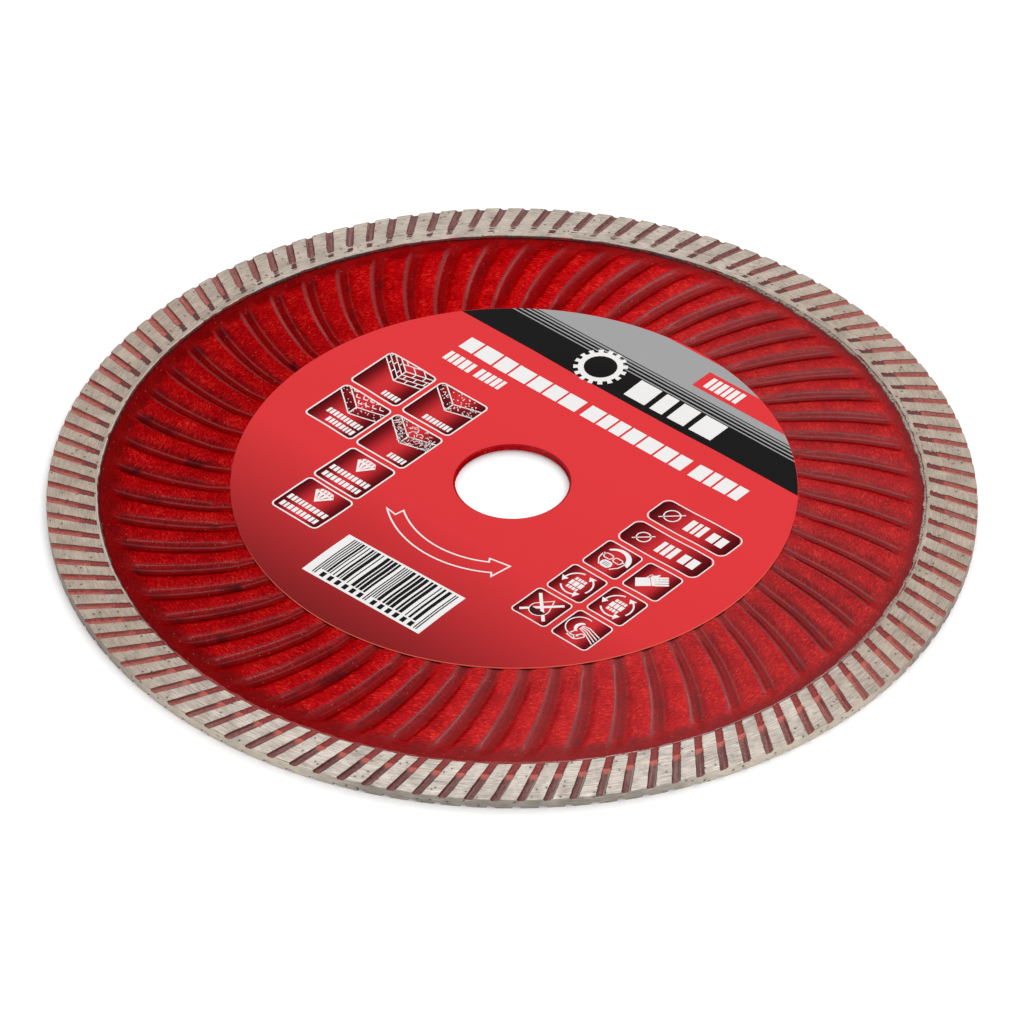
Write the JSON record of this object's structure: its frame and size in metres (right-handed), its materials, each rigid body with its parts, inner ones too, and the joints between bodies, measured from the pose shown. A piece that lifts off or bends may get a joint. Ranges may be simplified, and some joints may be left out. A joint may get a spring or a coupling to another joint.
{
  "type": "diamond cutting disc",
  "caption": "Flat diamond cutting disc with a continuous slanted-groove rim on a wave-ribbed steel core, a plain centre bore and a round printed label.",
  "frame": {"origin": "centre of the bore, halfway through the disc's thickness", "axes": "+Z is the disc's axis and points out of the printed face; +X and +Y lie in the disc's plane"},
  "size_m": [0.18, 0.18, 0.0022],
  "materials": {
    "core_paint": "metallic candy red lacquer over a blasted steel sheet",
    "rim_metal": "sintered metal bond with diamond grit, ground on its faces and its edge",
    "label_print": "coated paper, satin print"
  },
  "bodies": {
    "root": {"steel_core": "core_paint", "diamond_rim": "rim_metal", "label": "label_print"}
  },
  "joints": []
}
